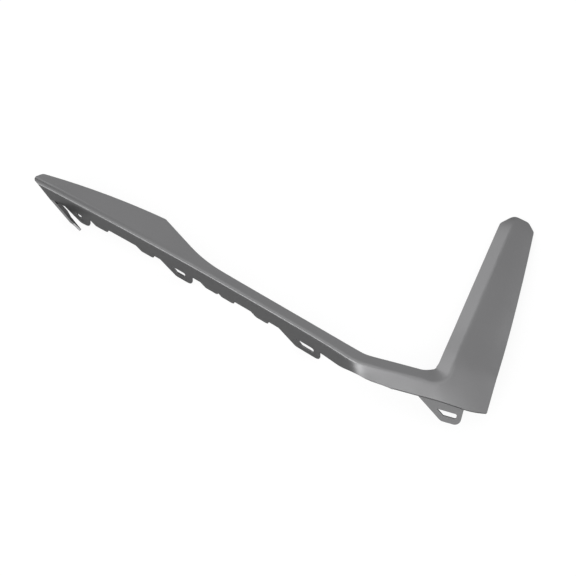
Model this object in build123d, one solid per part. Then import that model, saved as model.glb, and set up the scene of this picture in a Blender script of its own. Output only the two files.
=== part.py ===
from build123d import *
from math import atan2, cos, degrees, hypot, pi, radians, sin, tan
import os

# Bumper moulding: one injection-moulded strip, millimetres, lying face up.
# An L of three legs seen from above: a long arm, a short bridge and an
# upright. A ridge runs along all three. On its inner side is the inner
# strip, and on its outer side a steep wall that turns over into the broad
# face of the upright. The space under the strip is open.

# Plan of the ridge: corner at the foot of the upright, bend between the legs
bridge_length = 113
bridge_angle = 164
arm_length = 450.5
arm_angle = 147.7
arm_bow = 3.3
upright_length = 253
upright_angle = 70

# Skin, and how far it is made beyond its outline before it is cut to it
wall = 2.5
ridge_radius = 4
crease_radius = 9
spare = 7
section_gap = 16

# Heights of the ridge above the foot of the tabs
ridge_height_left = 46.5
ridge_height_middle = 55
ridge_height_top = 16.5
corner_drop = 0.6

# Inner strip: width in plan, fall from the ridge to its edge
strip_width = 19.1
strip_width_bend = 16.3
strip_fall = 5
bridge_strip_width = 14.3
bevel_width = 18.5
bevel_fall = 9

# Blade, the wide end of the inner strip, with a valley beside the ridge
blade_length = 226
blade_shoulder = 156
blade_width = 44.2
blade_tip_width = 16.6
blade_nose_width = 6.5
blade_edge_bow = 3.6
blade_slope = 12
valley_offset = 9
valley_depth = 3.6

# Wall along the arm, and how it leans over into the face at the bend
wall_foot_height = 22.7
wall_draft = 0.8
wall_tilt = 88
turn_length = 60
turn_tilts = [84, 74]
turn_ends = [(2.5, -29.5), (5.5, -24.2)]
bend_tilt = 55
bend_end = (9, -14)

# Broad face: width beside the bridge, at the foot of the upright and at its top
face_width = 18.8
face_toe_width = 17.7
foot_width = 56.1
top_width = 25.2
face_side_bow = 3
face_tilt = 8
face_fall = 17

# Left end: slanted cut, and the flap that runs on from the wall's lower corner
end_cut_angle = 16.6
end_cut_offset = -0.3
end_lean = 11.3
flap_start = 19.5
flap_angle = 19.6
flap_lean = 32
flap_height = 20
flap_length = 52.5
flap_tip_length = 14
flap_tip_drop = 7.5
flap_width = 16.5
flap_neck_width = 9
flap_root_start = 29.5
flap_root_height = 8

# Clip tabs and clip noses along the foot of the wall
right_tab_start = 49.2
left_tab_gap = 39
middle_tab_shift = 12
tab_bases = [59.5, 46, 35.5]
tab_heights = [24, 22.5, 21.5]
tab_radius = 7
tab_slope = 1.05
tab_step = 0.25
window_gap = 1.5
window_starts = [8.5, 9.5, 11.5]
window_lengths = [25.5, 19.5, 10]
window_heights = [12, 11, 9]
window_slope = 0.7
nose_base = 26
nose_height = 8.3
nose_radius = 4

# Corner tab under the foot of the upright
corner_tab_start = -28
corner_tab_base = 59.5
corner_tab_height = 25.4
corner_tab_slope = 1.42
corner_tab_tilt = 50
corner_tab_radius = 8
corner_window_start = 6.2
corner_window_length = 25
corner_window_height = 6.5
corner_window_gap = 11.2

# Stiffening gussets inside the arm, ribs and locating pins under the face
rib_thickness = 1.6
gusset_depth = 20
gusset_width = 13
gusset_count = 6
fin_root = 2.5
face_rib_places = [100, 138, 212]
face_rib_depth = 6
pin_radius = 3
pin_length = 9
pin_boss_radius = 6
pin_boss_length = 8
pin_places = [62, 176]
pin_offset = 24


def along_leg(start, angle, distance, inward):
    # point at a distance along a leg, moved towards the inside of the L
    heading = radians(angle)
    side = heading - radians(90)
    return (
        start[0] + distance * cos(heading) + inward * cos(side),
        start[1] + distance * sin(heading) + inward * sin(side),
    )


def on_bridge(distance, inward=0):
    return along_leg((0, 0), bridge_angle, distance, inward)


def on_arm(distance, inward=0):
    return along_leg(on_bridge(bridge_length), arm_angle, distance, inward)


def on_upright(distance, inward=0):
    return along_leg((0, 0), upright_angle, distance, -inward)


def bow(distance):
    # the arm is bowed slightly towards the inside of the L
    share = distance / arm_length
    return arm_bow * 4 * share * (1 - share)


def arm_height(distance):
    share = max(distance, 0) / arm_length
    return ridge_height_middle + (ridge_height_left - ridge_height_middle) * share


def upright_height(distance):
    share = max(distance, 0) / upright_length
    return ridge_height_middle + (ridge_height_top - ridge_height_middle) * share ** 1.2


def plain_inner(width, fall):
    # inner strip that falls straight from the ridge: tilt, middle and end
    return degrees(atan2(fall, width)), (-width / 2, -fall / 2), (-width, -fall)


def blade_inner(depth):
    # inner strip that dips beside the ridge and runs out as the blade
    slope = tan(radians(blade_slope))
    level = -valley_offset * slope - depth
    width = blade_width + spare
    return blade_slope + 8 * depth, (-valley_offset, level), (-width, level - (width - valley_offset) * slope)


def row_of(place, height, facing, inner, outer, radius):
    # one section as a flat row of numbers, so that rows can be blended
    tilt, valley, inner_end = inner
    outer_tilt, outer_end = outer
    return [*place, height, facing, tilt, *valley, *inner_end, outer_tilt, *outer_end, radius]


def arm_row(distance):
    from_end = arm_length - distance
    if from_end < blade_length + 5:
        inner = blade_inner(max(valley_depth * (1 - from_end / blade_length), 0))
    else:
        inner = plain_inner(strip_width + spare, strip_fall + 2)
    outer = (wall_tilt, (wall_draft, wall_foot_height - arm_height(distance)))
    place = on_arm(distance, bow(distance))
    return row_of(place, arm_height(distance), arm_angle + 90, inner, outer, ridge_radius)


def arm_rows():
    # from beyond the left end to where the wall starts to lean over
    blade_start = arm_length - blade_length
    rows = [arm_row(blade_start + (blade_length + 30) * step / 4) for step in (4, 3, 2, 1, 0)]
    rows += [arm_row(turn_length + (blade_start - turn_length) * step / 3) for step in (2, 1, 0)]
    return rows


def turn_rows():
    # the wall leans over round the bend until it is the face of the bridge
    rows = []
    inner = plain_inner(strip_width + spare, strip_fall + 2)
    for share, tilt, end in zip((0.58, 0.25), turn_tilts, turn_ends):
        distance = turn_length * share
        place = on_arm(distance, bow(distance))
        rows.append(row_of(place, arm_height(distance), arm_angle + 90, inner, (tilt, end), ridge_radius))
    facing = (arm_angle + bridge_angle) / 2 + 90
    place = on_bridge(bridge_length, 1.2)
    rows.append(row_of(place, ridge_height_middle, facing, inner, (bend_tilt, bend_end), ridge_radius))
    inner = plain_inner(bridge_strip_width + spare, strip_fall + 2)
    for back, tilt, end in [(21, 32, (face_toe_width - 3.1, -8.5)), (48, 24, (face_toe_width, -8.2))]:
        place = on_bridge(bridge_length - back)
        rows.append(row_of(place, ridge_height_middle, bridge_angle + 90, inner, (tilt, end), ridge_radius + 1))
    return rows


def corner_rows():
    # sections fan out about a centre inside the corner, from bridge to upright
    reach = 40
    middle = radians(bridge_angle + upright_angle) / 2
    centre = (reach * cos(middle), reach * sin(middle))
    radius = reach * sin(radians(bridge_angle - upright_angle) / 2)
    swing = upright_angle + 180 - bridge_angle
    rows = []
    growths = (0.02, 0.17, 0.5, 1.1, 0.98)
    drops = (11.5, 12.5, 14, 19, 17)
    for step, (growth, drop) in enumerate(zip(growths, drops)):
        share = step / 4
        facing = bridge_angle + 90 + swing * share
        out = radius + 3.5 * sin(pi * share)
        place = (centre[0] + out * cos(radians(facing)), centre[1] + out * sin(radians(facing)))
        inner = plain_inner(bevel_width + 3, bevel_fall - 0.5 + 2 * share)
        width = face_width + spare + (foot_width - face_width) * growth
        outer = (22 - 13 * share, (width, -drop))
        rows.append(row_of(place, ridge_height_middle - corner_drop * share, facing, inner, outer, crease_radius))
    return rows


def upright_rows():
    # the far end dips under the slanted top edge
    rows = []
    full = upright_length - 21
    stops = [(80 + (full - 80) * step / 3, 0) for step in range(4)]
    for distance, dip in stops + [(full + 9, 0.4), (full + 32, 8)]:
        share = distance / upright_length
        width = foot_width + (top_width - foot_width) * share + spare
        inner = plain_inner(bevel_width + 4, bevel_fall + 2)
        outer = (face_tilt, (width, -tan(radians(face_fall)) * width))
        place = on_upright(distance)
        height = upright_height(distance) - dip
        rows.append(row_of(place, height, upright_angle + 270, inner, outer, crease_radius))
    return rows


def section_plane(x, y, height, facing):
    # upright plane whose x runs outward, with the ridge at its origin
    turn = radians(facing)
    return Plane(origin=(x, y, height), x_dir=(cos(turn), sin(turn), 0), z_dir=(sin(turn), -cos(turn), 0))


def section(row):
    # closed V section: inner strip, rounded ridge and wall, with its thickness
    x, y, height, facing, inner_tilt, vx, vy, ix, iy, outer_tilt, ox, oy, radius = row
    plane = section_plane(x, y, height, facing)
    inner_way = Vector(-cos(radians(inner_tilt)), -sin(radians(inner_tilt)))
    outer_way = Vector(cos(radians(outer_tilt)), -sin(radians(outer_tilt)))
    lean = (inner_way + outer_way).normalized()
    half = radians(180 - inner_tilt - outer_tilt) / 2
    blade_way = (Vector(ix, iy) - Vector(vx, vy)).normalized()
    blade_down = Vector(-blade_way.Y, blade_way.X)

    def side(depth):
        # points of one side of the skin, at a depth below the outer surface
        apex = lean * (depth / sin(half))
        reach = (radius - depth) / tan(half)
        start = apex + inner_way * reach
        finish = apex + outer_way * reach
        dip = Vector(vx, vy) + blade_down * depth
        lead = (dip - start).length * 0.45
        elbow = finish + outer_way * ((Vector(ox, oy) - finish).length / 2)
        end_way = (Vector(ox, oy) - elbow).normalized()
        points = {
            "tip": Vector(ix, iy) + blade_down * depth,
            "dip": dip,
            "dip_lead": dip - blade_way * lead,
            "start_lead": start + inner_way * lead,
            "start": start,
            "apex": apex,
            "finish": finish,
            "elbow": elbow,
            "foot": Vector(ox, oy) + Vector(end_way.Y, -end_way.X) * depth,
        }
        return {name: plane.from_local_coords((point.X, point.Y, 0)) for name, point in points.items()}

    top = side(0)
    under = side(wall)
    return Wire([
        Edge.make_line(top["tip"], top["dip"]),
        Edge.make_bezier(top["dip"], top["dip_lead"], top["start_lead"], top["start"]),
        Edge.make_bezier(top["start"], top["apex"], top["finish"]),
        Edge.make_bezier(top["finish"], top["elbow"], top["foot"]),
        Edge.make_line(top["foot"], under["foot"]),
        Edge.make_bezier(under["foot"], under["elbow"], under["finish"]),
        Edge.make_bezier(under["finish"], under["apex"], under["start"]),
        Edge.make_bezier(under["start"], under["start_lead"], under["dip_lead"], under["dip"]),
        Edge.make_line(under["dip"], under["tip"]),
        Edge.make_line(under["tip"], top["tip"]),
    ])


def slopes(stops, values):
    # slopes of a smooth curve through the values that doesn't overshoot them
    steps = [b - a for a, b in zip(stops, stops[1:])]
    rises = [(b - a) / step for a, b, step in zip(values, values[1:], steps)]
    result = [rises[0]]
    for left, right, before, after in zip(rises, rises[1:], steps, steps[1:]):
        if left * right <= 0:
            result.append(0)
        else:
            result.append((before + after) / (before / left + after / right))
    return result + [rises[-1]]


def blend(rows):
    # rows about one section gap apart, eased between the given ones
    stops = [0]
    for one, two in zip(rows, rows[1:]):
        stops.append(stops[-1] + max(hypot(two[0] - one[0], two[1] - one[1]), section_gap / 2))
    columns = list(zip(*rows))
    leans = [slopes(stops, column) for column in columns]
    result = []
    for i in range(len(rows) - 1):
        span = stops[i + 1] - stops[i]
        swing = radians(abs(rows[i + 1][3] - rows[i][3])) * foot_width
        count = max(1, round(max(span, swing) / section_gap))
        for t in [step / count for step in range(count)]:
            weights = (2 * t**3 - 3 * t**2 + 1, (t**3 - 2 * t**2 + t) * span,
                       3 * t**2 - 2 * t**3, (t**3 - t**2) * span)
            result.append([
                sum(w * value for w, value in zip(weights, (column[i], lean[i], column[i + 1], lean[i + 1])))
                for column, lean in zip(columns, leans)
            ])
    result.append(rows[-1])
    return result


def meet(first, first_angle, second, second_angle):
    # crossing of two lines, each given by a point and a heading
    a = radians(first_angle)
    b = radians(second_angle)
    reach = ((second[0] - first[0]) * sin(b) - (second[1] - first[1]) * cos(b)) / sin(b - a)
    return first[0] + reach * cos(a), first[1] + reach * sin(a)


def plan_outline():
    # what is seen of the skin from above: everything outside it is cut off
    end = on_arm(arm_length, -2)
    nose = on_arm(arm_length + 7.7, blade_nose_width)
    tip = on_arm(arm_length + 1.5, blade_tip_width)
    shoulder = on_arm(arm_length - blade_shoulder, blade_width)
    edge_middle = on_arm(
        arm_length - (blade_shoulder - 3) / 2,
        (blade_tip_width + blade_width) / 2 + blade_edge_bow,
    )
    root = on_arm(arm_length - blade_length, strip_width)
    knee = meet(on_arm(0, strip_width_bend), arm_angle, on_bridge(0, bridge_strip_width), bridge_angle)
    inside = meet(on_bridge(0, bridge_strip_width), bridge_angle, on_upright(0, bevel_width), upright_angle)
    top_inner = on_upright(upright_length - 9, bevel_width - 1.5)
    top_ridge = on_upright(upright_length + 4.8, 5)
    top_face = on_upright(upright_length + 3, -top_width * 0.6)
    top_outer = on_upright(upright_length - 7, -top_width)
    side = on_upright(
        (upright_length - 20) / 2,
        -(foot_width + top_width) / 2 - face_side_bow,
    )
    heel = on_upright(-10, -foot_width)
    heel_middle = on_upright(-14.4, -foot_width + 13)
    heel_start = on_bridge(corner_tab_start, -face_width)
    toe = on_bridge(bridge_length - 53, -face_toe_width)
    clear = [on_bridge(bridge_length - 38, -40), on_arm(-30, -50), on_arm(arm_length + 30, -50)]
    loop = [
        (clear[2], end), (end, nose), (nose, tip), (tip, edge_middle, shoulder), (shoulder, root),
        (root, knee), (knee, inside), (inside, top_inner), (top_inner, top_ridge), (top_ridge, top_face),
        (top_face, top_outer), (top_outer, side, heel), (heel, heel_middle, heel_start), (heel_start, toe),
        (toe, clear[0]), (clear[0], clear[1]), (clear[1], clear[2]),
    ]
    edges = [
        Edge.make_line(*points) if len(points) == 2 else Edge.make_three_point_arc(*points)
        for points in loop
    ]
    face = Face(Wire(edges))
    rounding = [
        (nose, 4.5), (tip, 8), (shoulder, 6), (root, 150), (knee, 40), (inside, 19),
        (top_inner, 7), (top_ridge, 8), (top_face, 8), (top_outer, 4), (heel, 2.5),
    ]
    for place, radius in rounding:
        vertex = min(face.vertices(), key=lambda v: hypot(v.X - place[0], v.Y - place[1]))
        face = face.fillet_2d(radius, [vertex])
    return face


def end_plane():
    # slanted plane that cuts the left end: runs down and outward from the ridge
    heading = radians(arm_angle + 180 - end_cut_angle)
    forward = Vector(cos(heading), sin(heading), 0)
    level = Vector(-forward.Y, forward.X, 0)
    normal = level * cos(radians(end_lean)) + Vector(0, 0, sin(radians(end_lean)))
    origin = Vector(*on_arm(arm_length), ridge_height_left) - normal * end_cut_offset
    return Plane(origin=origin, x_dir=forward, z_dir=normal)


def flap():
    # leaning tongue past the wall, stepped back on its outer side near its tip
    heading = radians(arm_angle + 180 - flap_angle)
    forward = Vector(cos(heading), sin(heading), 0)
    level = Vector(-forward.Y, forward.X, 0)
    normal = level * cos(radians(flap_lean)) + Vector(0, 0, sin(radians(flap_lean)))
    origin = Vector(*on_arm(arm_length - flap_start, -wall_draft / 2), flap_height)
    plane = Plane(origin=origin, x_dir=forward, z_dir=normal)
    shoulder = flap_length - flap_tip_length
    outline = [
        (0, 0), (shoulder, 0), (shoulder + 3.5, 3), (flap_length, flap_tip_drop),
        (flap_length - 1, flap_neck_width), (shoulder - 8, flap_neck_width + 1.5),
        (shoulder / 2, flap_width), (8, flap_width - 1.5), (0, flap_neck_width - 3),
    ]
    corners = [plane.from_local_coords((x, y, 0)) for x, y in outline]
    return Solid.extrude(Face(Wire.make_polygon(corners, close=True)), plane.z_dir * wall)


def wall_foot(distance):
    # lower edge of the wall, on its outer side
    return Vector(*on_arm(distance, bow(distance) - wall_draft), wall_foot_height)


def near(face, point):
    return min(face.vertices(), key=lambda v: (Vector(v) - point).length)


def hooked(at, base, height, slope, radius):
    # outline of a fin: slanted front, square back, rounded at the bottom
    ramp = base - height * slope
    corners = [at(0, fin_root), at(base, fin_root), at(base, 0), at(ramp, -height), at(0, -height)]
    face = Face(Wire.make_polygon(corners, close=True))
    face = face.fillet_2d(radius, [near(face, corners[4])])
    return face.fillet_2d(radius, [near(face, corners[3])])


def window_face(at, start, length, height, gap, slope):
    # slot with a slanted front end and a rounded back end
    corners = [
        at(start, -gap),
        at(start + length, -gap),
        at(start + length - height * slope, -gap - height),
        at(start, -gap - height),
    ]
    face = Face(Wire.make_polygon(corners, close=True))
    return face.fillet_2d(height * 0.3, [near(face, corners[0]), near(face, corners[3])])


def fin(place, base, height, radius, window=None):
    # flat fin that carries on the wall downward, set in a little on both sides
    start = wall_foot(place)
    along = (wall_foot(place + base) - start).normalized()
    inward = Vector(along.Y, -along.X, 0)
    start = start + inward * tab_step

    def at(x, y):
        return start + along * x + Vector(0, 0, y)

    outline = hooked(at, base, height, tab_slope, radius)
    solid = Solid.extrude(outline, inward * (wall - 2 * tab_step))
    if window is not None:
        hole = Solid.extrude(window_face(at, *window), inward * wall * 3)
        solid = solid.cut(hole.moved(Location(inward * -wall)))
    return solid


def tab_places():
    # distance of each tab from the bend: right, middle and left
    left = arm_length - left_tab_gap - tab_bases[2]
    middle = (right_tab_start + tab_bases[0] + left - tab_bases[1]) / 2 + middle_tab_shift
    return [right_tab_start, middle, left]


def nose_places():
    # one nose after the right tab, two before the middle tab, one after it and
    # one before the left tab
    right, middle, left = tab_places()
    return [right + tab_bases[0] + 14, middle - 60, middle - 37, middle + tab_bases[1] + 8, left - 26]


def corner_tab():
    # tab under the foot of the upright, steeper than the face above it
    start = Vector(*on_bridge(corner_tab_start, 2.5 - face_width), ridge_height_middle - 14)
    finish = Vector(*on_bridge(corner_tab_start + corner_tab_base, 2.5 - face_width), ridge_height_middle - 10)
    along = (finish - start).normalized()
    level = Vector(-along.Y, along.X, 0).normalized()
    down = level * cos(radians(corner_tab_tilt)) - Vector(0, 0, sin(radians(corner_tab_tilt)))
    normal = along.cross(down).normalized()
    down = normal.cross(along)

    def at(x, y):
        return start + along * x - down * y

    outline = hooked(at, corner_tab_base, corner_tab_height, corner_tab_slope, corner_tab_radius)
    window = window_face(
        at, corner_window_start, corner_window_length, corner_window_height, corner_window_gap, corner_tab_slope)
    hole = Solid.extrude(window, normal * 20).moved(Location(normal * -10))
    return Solid.extrude(outline, normal * (tab_step - wall)).cut(hole)


def under_point(shell, x, y):
    # lowest point of the skin above a place in plan, and the way out of it
    hits = shell.find_intersection_points(Axis((x, y, -50), (0, 0, 1)))
    return min(hits, key=lambda hit: hit[0].Z)


def locating_pin(shell, distance):
    # round pin on a boss that starts half way inside the skin
    x, y = on_upright(distance, -pin_offset)
    point, normal = under_point(shell, x, y)
    end = point.Z - pin_boss_length
    seat = Plane(origin=point - normal * (wall * 0.4), z_dir=normal)
    boss = Solid.make_cylinder(pin_boss_radius, pin_boss_length + 15, Plane((x, y, end)))
    boss = boss.split(seat, keep=Keep.TOP)
    pin = Solid.make_cylinder(pin_radius, pin_length + 1, Plane((x, y, end - pin_length)))
    return boss.fuse(pin), end - pin_length


def gusset(distance):
    # three-cornered web in the angle between the inner strip and the wall
    row = arm_row(distance)
    tilt, vx, vy, ix, iy = row[4:9]
    plane = section_plane(*row[:4])
    half = radians(180 - tilt - wall_tilt) / 2
    lean = radians(tilt) + half
    sunk = ridge_radius * cos(half) ** 2 / (2 * sin(half)) + wall / 2
    slope = (vy - iy) / (vx - ix)
    edge = vy - (gusset_width + vx) * slope
    corners = [
        (-sunk * cos(lean), -sunk * sin(lean)), (max(vx, 1 - gusset_width), max(vy, edge) - wall / 2),
        (-gusset_width, edge - wall / 2), (-wall / 2, -gusset_depth),
    ]
    points = [plane.from_local_coords((x, y, -rib_thickness / 2)) for x, y in corners]
    return Solid.extrude(Face(Wire.make_polygon(points, close=True)), plane.z_dir * rib_thickness)


def face_rib(shell, distance):
    # rib across the underside of the face, tapered to nothing at both ends
    width = foot_width + (top_width - foot_width) * distance / upright_length
    across = [bevel_width - 6, 0, -width / 3, -width * 2 / 3, 5 - width]
    points = []
    for inward in across:
        point, normal = under_point(shell, *on_upright(distance, inward))
        points.append(point + Vector(0, 0, wall / 2))
    low = [points[3] - Vector(0, 0, face_rib_depth), points[1] - Vector(0, 0, face_rib_depth)]
    along = Vector(*on_upright(rib_thickness)) - Vector(*on_upright(0))
    return Solid.extrude(Face(Wire.make_polygon(points + low, close=True)), along)


if __name__ == "__main__":
    rows = blend(arm_rows() + turn_rows() + corner_rows() + upright_rows())
    strip = Solid.make_loft([section(row) for row in rows])
    trim = Solid.extrude(plan_outline(), Vector(0, 0, 90)).moved(Location((0, 0, -20)))
    skin = strip.intersect(trim).solids()[0].split(end_plane(), keep=Keep.TOP)
    shell = skin.shells()[0]
    extras = [fin(place, nose_base, nose_height, nose_radius) for place in nose_places()]
    for place, base, height, *window in zip(
            tab_places(), tab_bases, tab_heights, window_starts, window_lengths, window_heights):
        extras.append(fin(place, base, height, tab_radius, (*window, window_gap, window_slope)))
    root = fin(arm_length - flap_root_start, flap_root_start, flap_root_height, 1.5)
    extras += [root.split(end_plane(), keep=Keep.TOP), flap(), corner_tab()]
    gusset_gap = (arm_length - 2 * turn_length) / (gusset_count - 1)
    extras += [gusset(turn_length + gusset_gap * step) for step in range(gusset_count)]
    extras += [face_rib(shell, distance) for distance in face_rib_places]
    for distance in pin_places:
        pin, foot = locating_pin(shell, distance)
        print("pin foot", distance, round(foot, 2))
        extras.append(pin)
    body = skin
    for extra in extras:
        body = body.fuse(extra)
    box = body.bounding_box()
    shift = Vector(-box.center().X, -box.center().Y, -box.min.Z)
    body = body.moved(Location(shift))
    print("moulding", body.is_valid, round(body.volume), len(body.solids()), box.size)
    print("shift", shift)
    os.makedirs("parts", exist_ok=True)
    export_step(body, "parts/bumper_moulding.step")
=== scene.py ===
import bpy
import bmesh
import math
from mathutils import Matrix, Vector


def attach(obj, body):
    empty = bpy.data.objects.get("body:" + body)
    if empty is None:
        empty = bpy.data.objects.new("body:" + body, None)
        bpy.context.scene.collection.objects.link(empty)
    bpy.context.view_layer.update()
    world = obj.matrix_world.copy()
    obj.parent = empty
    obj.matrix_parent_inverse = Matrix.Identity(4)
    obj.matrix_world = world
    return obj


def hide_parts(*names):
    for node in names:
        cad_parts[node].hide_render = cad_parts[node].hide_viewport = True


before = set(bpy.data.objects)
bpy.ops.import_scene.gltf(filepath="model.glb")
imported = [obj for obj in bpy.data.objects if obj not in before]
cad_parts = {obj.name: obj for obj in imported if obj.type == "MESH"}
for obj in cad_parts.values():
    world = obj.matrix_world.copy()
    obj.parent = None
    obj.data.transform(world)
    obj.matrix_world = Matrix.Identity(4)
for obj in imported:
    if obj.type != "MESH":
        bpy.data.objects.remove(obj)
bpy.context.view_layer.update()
print("frame loaded:", sorted(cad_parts))

# the moulding: one painted piece, laid over its CAD solid
moulding = {
    "node": "bumper_moulding",
    "body": "root",
    "slot": "satin_paint",
    "mergeDistance": 0.00002,
    "sharpAngle": 38.0,
    "edgeRadius": 0.0008,
    "edgeRounds": 2,
}

# the satin silver-grey paint on it
satinPaint = {
    "baseGrey": (0.2, 0.2, 0.203),
    "darkGrey": (0.175, 0.175, 0.178),
    # colour and share of the painted shade that darkens the rounded edges
    "edgeShadeGrey": (0.1, 0.1, 0.102),
    "edgeShadeShare": 0.75,
    "metallic": 0.8,
    "roughness": 0.36,
    "roughnessSpread": 0.05,
    "coat": 0.12,
    "coatRoughness": 0.3,
    "cloudSize": 0.11,
    "cloudDetail": 3.0,
    "flakeSize": 0.00035,
    "flakeShare": 0.35,
    "flakeDepth": 0.04,
    "flakeHeight": 0.0001,
    "peelSize": 0.0022,
    "peelDetail": 1.5,
    "peelDepth": 0.05,
    "peelHeight": 0.0003,
}

# the camera stands in front and looks down
viewpoint = {
    "elevation": 65.0,
    "target": (0.004645, 0.028748, 0.0013),
    "frameWidth": 0.6912,
    "lens": 800.0,
    "sensor": 36.0,
    "farthest": 60.0,
}

# pale studio: soft lamps all round, the strongest in front on the left, and an even world
studio = {
    "floorSize": 60.0,
    "floorHeight": -0.0002,
    "floorSeen": 0.97,
    "floorBounce": 0.27,
    "floorGlow": 0.86,
    "worldStrength": 0.95,
    "lamps": {
        "leftFrontLamp": {"place": (-1.9, -1.9, 1.2), "size": 2.2, "power": 24.0},
        "leftBackLamp": {"place": (-1.9, 1.9, 1.4), "size": 2.6, "power": 22.0},
        "rightLamp": {"place": (2.6, 0.0, 1.2), "size": 1.6, "power": 17.0},
        "frontHighLamp": {"place": (0.0, -1.8, 2.2), "size": 1.6, "power": 20.0},
        "topLamp": {"place": (0.0, 0.3, 2.6), "size": 2.0, "power": 8.0},
        "ridgeLamp": {"place": (-1.8, -2.1, 1.3), "size": 1.2, "power": 10.0},
    },
}


def addNode(tree, kind, **values):
    node = tree.nodes.new(kind)
    for key, value in values.items():
        setattr(node, key, value)
    return node


def newMaterial(name):
    material = bpy.data.materials.new(name)
    material.use_nodes = True
    tree = material.node_tree
    tree.nodes.clear()
    return material, tree


def makePaint(settings):
    material, tree = newMaterial("satinSilverGreyPaint")
    output = addNode(tree, "ShaderNodeOutputMaterial")
    paint = addNode(tree, "ShaderNodeBsdfPrincipled")
    tree.links.new(paint.outputs["BSDF"], output.inputs["Surface"])
    paint.inputs["Metallic"].default_value = settings["metallic"]
    paint.inputs["Coat Weight"].default_value = settings["coat"]
    paint.inputs["Coat Roughness"].default_value = settings["coatRoughness"]
    place = addNode(tree, "ShaderNodeTexCoord")

    # broad, faint clouds in the spray coat
    cloud = addNode(tree, "ShaderNodeTexNoise")
    cloud.inputs["Scale"].default_value = 1 / settings["cloudSize"]
    cloud.inputs["Detail"].default_value = settings["cloudDetail"]
    tree.links.new(place.outputs["Object"], cloud.inputs["Vector"])

    # metal flakes
    flake = addNode(tree, "ShaderNodeTexVoronoi")
    flake.inputs["Scale"].default_value = 1 / settings["flakeSize"]
    tree.links.new(place.outputs["Object"], flake.inputs["Vector"])

    # orange peel
    peel = addNode(tree, "ShaderNodeTexNoise")
    peel.inputs["Scale"].default_value = 1 / settings["peelSize"]
    peel.inputs["Detail"].default_value = settings["peelDetail"]
    tree.links.new(place.outputs["Object"], peel.inputs["Vector"])

    # the tone follows the flakes and the clouds
    tone = addNode(tree, "ShaderNodeMix", data_type="RGBA")
    tone.inputs["A"].default_value = (*settings["darkGrey"], 1)
    tone.inputs["B"].default_value = (*settings["baseGrey"], 1)
    flakeShare = addNode(tree, "ShaderNodeMath", operation="MULTIPLY_ADD")
    flakeShare.inputs[1].default_value = settings["flakeShare"]
    tree.links.new(flake.outputs["Color"], flakeShare.inputs[0])
    tree.links.new(cloud.outputs["Fac"], flakeShare.inputs[2])
    tree.links.new(flakeShare.outputs["Value"], tone.inputs["Factor"])

    # the rounded edges are painted darker: painted shade standing in for dark outlines along the edges
    edges = addNode(tree, "ShaderNodeAttribute", attribute_name="edgeRound")
    edgeShadeAmount = addNode(tree, "ShaderNodeMath", operation="MULTIPLY")
    edgeShadeAmount.inputs[1].default_value = settings["edgeShadeShare"]
    tree.links.new(edges.outputs["Fac"], edgeShadeAmount.inputs[0])
    shadedEdgeTone = addNode(tree, "ShaderNodeMix", data_type="RGBA")
    shadedEdgeTone.inputs["B"].default_value = (*settings["edgeShadeGrey"], 1)
    tree.links.new(edgeShadeAmount.outputs["Value"], shadedEdgeTone.inputs["Factor"])
    tree.links.new(tone.outputs["Result"], shadedEdgeTone.inputs["A"])
    tree.links.new(shadedEdgeTone.outputs["Result"], paint.inputs["Base Color"])

    # the gloss wanders a little with the spray
    gloss = addNode(tree, "ShaderNodeMapRange")
    gloss.inputs["To Min"].default_value = settings["roughness"] - settings["roughnessSpread"]
    gloss.inputs["To Max"].default_value = settings["roughness"] + settings["roughnessSpread"]
    tree.links.new(cloud.outputs["Fac"], gloss.inputs["Value"])
    tree.links.new(gloss.outputs["Result"], paint.inputs["Roughness"])

    # flakes and peel stand out a little
    flakeBump = addNode(tree, "ShaderNodeBump")
    flakeBump.inputs["Strength"].default_value = settings["flakeDepth"]
    flakeBump.inputs["Distance"].default_value = settings["flakeHeight"]
    tree.links.new(flake.outputs["Distance"], flakeBump.inputs["Height"])
    peelBump = addNode(tree, "ShaderNodeBump")
    peelBump.inputs["Strength"].default_value = settings["peelDepth"]
    peelBump.inputs["Distance"].default_value = settings["peelHeight"]
    tree.links.new(peel.outputs["Fac"], peelBump.inputs["Height"])
    tree.links.new(flakeBump.outputs["Normal"], peelBump.inputs["Normal"])
    tree.links.new(peelBump.outputs["Normal"], paint.inputs["Normal"])
    return material


def mergedCopy(settings):
    # the CAD triangles joined at their corners, each corner keeping its exact normal
    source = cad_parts[settings["node"]].data
    work = bmesh.new()
    work.from_mesh(source)
    exact = work.loops.layers.float_vector.new("exactNormal")
    for face in work.faces:
        for corner, index in zip(face.loops, source.polygons[face.index].loop_indices):
            corner[exact] = source.corner_normals[index].vector
    bmesh.ops.remove_doubles(work, verts=work.verts, dist=settings["mergeDistance"])
    weights = work.edges.layers.float.new("bevel_weight_edge")
    limit = math.radians(settings["sharpAngle"])
    for edge in work.edges:
        if len(edge.link_faces) == 2 and edge.calc_face_angle(0) > limit:
            edge[weights] = 1
    for face in work.faces:
        face.smooth = True
        face.material_index = 0
    mesh = bpy.data.meshes.new("mergedMoulding")
    work.to_mesh(mesh)
    work.free()
    if "custom_normal" in mesh.attributes:
        mesh.attributes.remove(mesh.attributes["custom_normal"])
    return mesh


def roundedCopy(mesh, settings):
    # real edges get a small round; its faces are told apart by their material index
    holder = bpy.data.objects.new("edgeRounding", mesh)
    bpy.context.scene.collection.objects.link(holder)
    mesh.materials.clear()
    mesh.materials.append(None)
    mesh.materials.append(None)
    bevel = holder.modifiers.new("softEdges", "BEVEL")
    bevel.width = settings["edgeRadius"]
    bevel.segments = settings["edgeRounds"]
    bevel.limit_method = "WEIGHT"
    bevel.material = 1
    bevel.use_clamp_overlap = True
    bevel.loop_slide = True
    shape = holder.evaluated_get(bpy.context.evaluated_depsgraph_get())
    rounded = bpy.data.meshes.new_from_object(shape)
    bpy.data.objects.remove(holder)
    return rounded


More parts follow.
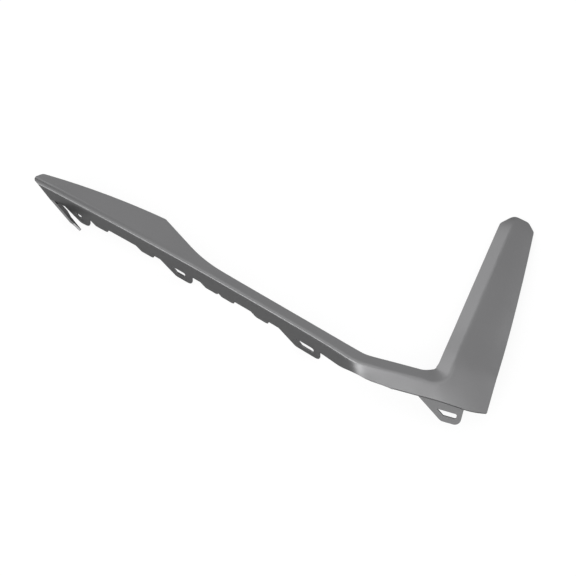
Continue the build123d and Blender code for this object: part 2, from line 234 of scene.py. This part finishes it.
def setNormals(mesh):
    # broad faces keep the exact normals, and the rounds run smoothly between them
    exact = mesh.attributes["exactNormal"].data
    onFaces = {}
    onRounds = {}
    for face in mesh.polygons:
        table = onRounds if face.material_index else onFaces
        for corner in face.loop_indices:
            vertex = mesh.loops[corner].vertex_index
            normal = face.normal * face.area if face.material_index else Vector(exact[corner].vector)
            table[vertex] = table.get(vertex, Vector()) + normal
    normals = []
    for face in mesh.polygons:
        for corner in face.loop_indices:
            vertex = mesh.loops[corner].vertex_index
            if face.material_index:
                normal = onFaces.get(vertex, onRounds[vertex])
            else:
                normal = Vector(exact[corner].vector)
            normals.append(normal.normalized() if normal.length > 0 else face.normal)

    # the paint reads which faces are rounds, and paints shade on them
    edgeRound = mesh.attributes.new("edgeRound", "FLOAT", "FACE")
    for face in mesh.polygons:
        edgeRound.data[face.index].value = face.material_index
        face.material_index = 0
        face.use_smooth = True
    mesh.normals_split_custom_set(normals)
    mesh.attributes.remove(mesh.attributes["exactNormal"])


skin = roundedCopy(mergedCopy(moulding), moulding)
setNormals(skin)
skin.materials.clear()
skin.materials.append(makePaint(satinPaint))
piece = bpy.data.objects.new("paintedMoulding", skin)
bpy.context.scene.collection.objects.link(piece)
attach(piece, moulding["body"])
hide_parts(moulding["node"])
print("moulding dressed:", len(skin.polygons), "faces")


def makeFloor(settings):
    half = settings["floorSize"] / 2
    height = settings["floorHeight"]
    mesh = bpy.data.meshes.new("studioFloor")
    corners = [(x, y, height) for x, y in ((-half, -half), (half, -half), (half, half), (-half, half))]
    mesh.from_pydata(corners, [], [(0, 1, 2, 3)])
    floor = bpy.data.objects.new("studioFloor", mesh)
    bpy.context.scene.collection.objects.link(floor)
    material, tree = newMaterial("paleFloor")
    output = addNode(tree, "ShaderNodeOutputMaterial")
    card = addNode(tree, "ShaderNodeBsdfDiffuse")
    glow = addNode(tree, "ShaderNodeEmission")
    rays = addNode(tree, "ShaderNodeLightPath")

    # the camera sees it pale, and it bounces less light than that up at the object
    shade = addNode(tree, "ShaderNodeMapRange")
    shade.inputs["To Min"].default_value = settings["floorBounce"]
    shade.inputs["To Max"].default_value = settings["floorSeen"]
    tree.links.new(rays.outputs["Is Camera Ray"], shade.inputs["Value"])
    tree.links.new(shade.outputs["Result"], card.inputs["Color"])

    # part of what the camera sees is even white, and the rest keeps the object's shadow
    share = addNode(tree, "ShaderNodeMath", operation="MULTIPLY")
    share.inputs[1].default_value = settings["floorGlow"]
    blend = addNode(tree, "ShaderNodeMixShader")
    tree.links.new(rays.outputs["Is Camera Ray"], share.inputs[0])
    tree.links.new(share.outputs["Value"], blend.inputs["Fac"])
    tree.links.new(card.outputs["BSDF"], blend.inputs[1])
    tree.links.new(glow.outputs["Emission"], blend.inputs[2])
    tree.links.new(blend.outputs["Shader"], output.inputs["Surface"])
    mesh.materials.append(material)


def makeWorld(settings):
    world = bpy.data.worlds.new("paleRoom")
    bpy.context.scene.world = world
    world.use_nodes = True
    tree = world.node_tree
    tree.nodes.clear()
    output = addNode(tree, "ShaderNodeOutputWorld")
    light = addNode(tree, "ShaderNodeBackground")
    light.inputs["Strength"].default_value = settings["worldStrength"]
    white = addNode(tree, "ShaderNodeBackground")
    rays = addNode(tree, "ShaderNodeLightPath")
    blend = addNode(tree, "ShaderNodeMixShader")
    tree.links.new(rays.outputs["Is Camera Ray"], blend.inputs["Fac"])
    tree.links.new(light.outputs["Background"], blend.inputs[1])
    tree.links.new(white.outputs["Background"], blend.inputs[2])
    tree.links.new(blend.outputs["Shader"], output.inputs["Surface"])


def makeLamp(name, place, size, power):
    # a square soft lamp turned to the middle of the floor
    data = bpy.data.lights.new(name, "AREA")
    data.shape = "SQUARE"
    data.size = size
    data.energy = power
    lamp = bpy.data.objects.new(name, data)
    bpy.context.scene.collection.objects.link(lamp)
    lamp.location = place
    lamp.rotation_euler = (-Vector(place)).to_track_quat("-Z", "Y").to_euler()


makeFloor(studio)
makeWorld(studio)
for lampName, lamp in studio["lamps"].items():
    makeLamp(lampName, lamp["place"], lamp["size"], lamp["power"])
print("studio set:", len(studio["lamps"]), "lamps")


def placeCamera(settings):
    data = bpy.data.cameras.new("camera")
    data.lens = settings["lens"]
    data.sensor_width = settings["sensor"]
    data.clip_end = settings["farthest"]
    camera = bpy.data.objects.new("camera", data)
    bpy.context.scene.collection.objects.link(camera)
    tilt = math.radians(settings["elevation"])
    away = settings["frameWidth"] * settings["lens"] / settings["sensor"]
    back = Vector((0, -math.cos(tilt), math.sin(tilt)))
    camera.location = Vector(settings["target"]) + back * away
    camera.rotation_euler = (math.radians(90) - tilt, 0, 0)
    bpy.context.scene.camera = camera


placeCamera(viewpoint)
bpy.context.scene.view_settings.view_transform = "Standard"
print("camera placed")
